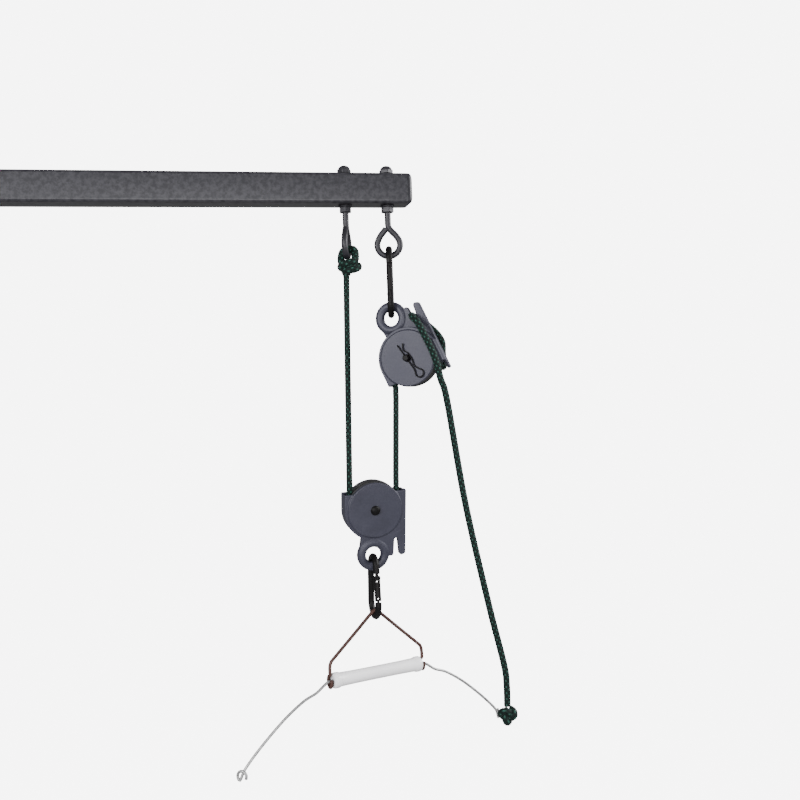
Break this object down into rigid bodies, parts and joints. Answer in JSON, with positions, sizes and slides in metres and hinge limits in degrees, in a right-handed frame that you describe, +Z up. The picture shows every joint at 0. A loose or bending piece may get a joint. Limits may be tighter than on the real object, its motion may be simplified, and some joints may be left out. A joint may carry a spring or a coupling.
{
  "type": "ceiling pulley hoist arm",
  "caption": "Square-tube ceiling arm carrying a block-and-tackle rope hoist with snap links, a wire hanger, a grip tube and a wire bail.",
  "frame": {"origin": "top of the ceiling plate, on the drop post's axis", "axes": "+X along the arm to its free end, +Z up, -Y to the side the picture is taken from"},
  "size_m": [0.796, 0.1395, 0.8756],
  "materials": {
    "black_nylon": "moulded, matt",
    "bronze": "turned",
    "brown_coated_wire": "brown coated wire",
    "galvanised_wire": "galvanised",
    "green_braid": "woven polypropylene braid",
    "gunmetal_paint": "satin gunmetal paint",
    "oiled_dark_steel": "dark oiled",
    "painted_casting": "painted die casting",
    "white_plastic": "glossy moulded"
  },
  "bodies": {
    "frame": {"ceiling_plate": "gunmetal_paint", "drop_post": "gunmetal_paint", "bracket_gusset": "gunmetal_paint", "arm_tube": "gunmetal_paint", "arm_end_cap": "gunmetal_paint", "arm_back_cap": "gunmetal_paint", "eye_bolt_inner": "gunmetal_paint", "top_washer_inner": "gunmetal_paint", "bottom_washer_inner": "gunmetal_paint", "hex_nut_inner": "gunmetal_paint", "dome_nut_inner": "gunmetal_paint", "eye_bolt_outer": "gunmetal_paint", "top_washer_outer": "gunmetal_paint", "bottom_washer_outer": "gunmetal_paint", "hex_nut_outer": "gunmetal_paint", "dome_nut_outer": "gunmetal_paint", "upper_link_body": "oiled_dark_steel", "upper_gate_rivet": "oiled_dark_steel", "upper_block_body": "painted_casting", "upper_sheave_bush": "bronze", "upper_clevis_pin": "oiled_dark_steel", "upper_hairpin_clip": "oiled_dark_steel", "rope_eye_knot": "green_braid", "rope_left_fall": "green_braid", "rope_right_fall": "green_braid", "rope_upper_wrap": "green_braid", "rope_tail": "green_braid", "rope_end_knot": "green_braid"},
    "lower_block": {"lower_block_body": "painted_casting", "lower_sheave_bush": "bronze", "lower_clevis_pin": "oiled_dark_steel", "lower_hairpin_clip": "oiled_dark_steel", "rope_lower_wrap": "green_braid"},
    "lower_sheave_wheel": {"lower_sheave": "black_nylon"},
    "upper_sheave_wheel": {"upper_sheave": "black_nylon"},
    "upper_gate": {"upper_link_gate": "oiled_dark_steel", "upper_gate_spring": "galvanised_wire"},
    "lower_gate": {"lower_link_gate": "oiled_dark_steel", "lower_gate_spring": "galvanised_wire"},
    "lower_link": {"lower_link_body": "oiled_dark_steel", "lower_gate_rivet": "oiled_dark_steel"},
    "hanger": {"hanger_wire": "brown_coated_wire"},
    "grip": {"grip_tube": "white_plastic"},
    "bail": {"bail_axle": "galvanised_wire", "bail_arm_right": "galvanised_wire", "bail_arm_left": "galvanised_wire"}
  },
  "joints": [
    {"name": "lift", "type": "slide", "parent": "frame", "child": "lower_block", "axis": [0, 0, 1], "range_m": [0, 0.085], "deforming": ["rope_left_fall", "rope_right_fall"]},
    {"name": "lower_sheave_turn", "type": "hinge", "parent": "lower_block", "child": "lower_sheave_wheel", "pos_m": [0.5438, 0, -0.572], "axis": [-0.0929, 0.9833, 0.1564], "continuous": true},
    {"name": "upper_sheave_turn", "type": "hinge", "parent": "frame", "child": "upper_sheave_wheel", "pos_m": [0.59502, -0.01891, -0.38521], "axis": [0.524, 0.8517, 0], "continuous": true},
    {"name": "upper_gate_hinge", "type": "hinge", "parent": "frame", "child": "upper_gate", "pos_m": [0.57379, -0.01369, -0.30336], "axis": [-0.9796, 0.2011, 0], "range_deg": [0, 25], "stiffness_Nm_per_rad": 0.06, "springref_deg": -8.59},
    {"name": "lower_gate_hinge", "type": "hinge", "parent": "lower_link", "child": "lower_gate", "pos_m": [0.54368, -0.0115, -0.6584], "axis": [0.9956, 0.0941, 0], "range_deg": [0, 25], "stiffness_Nm_per_rad": 0.06, "springref_deg": -8.59},
    {"name": "lower_link_swing", "type": "hinge", "parent": "lower_block", "child": "lower_link", "pos_m": [0.54235, 0.00258, -0.63309], "axis": [0.9956, 0.0941, 0], "range_deg": [0, 20]},
    {"name": "hanger_swing", "type": "hinge", "parent": "lower_link", "child": "hanger", "pos_m": [0.54235, 0.00258, -0.70849], "axis": [-0.0941, 0.9956, 0], "range_deg": [-25, 25]},
    {"name": "grip_turn", "type": "hinge", "parent": "hanger", "child": "grip", "pos_m": [0.54235, 0.00258, -0.77919], "axis": [0.9397, 0.342, 0], "continuous": true},
    {"name": "bail_swing", "type": "hinge", "parent": "hanger", "child": "bail", "pos_m": [0.54235, 0.00258, -0.77919], "axis": [0.9397, 0.342, 0], "range_deg": [-60, 60]}
  ],
  "couplings": [
    {"joint": "lower_sheave_turn", "follows": "lift", "rad_per_m": -32.949},
    {"joint": "upper_sheave_turn", "follows": "lift", "rad_per_m": 65.898}
  ]
}
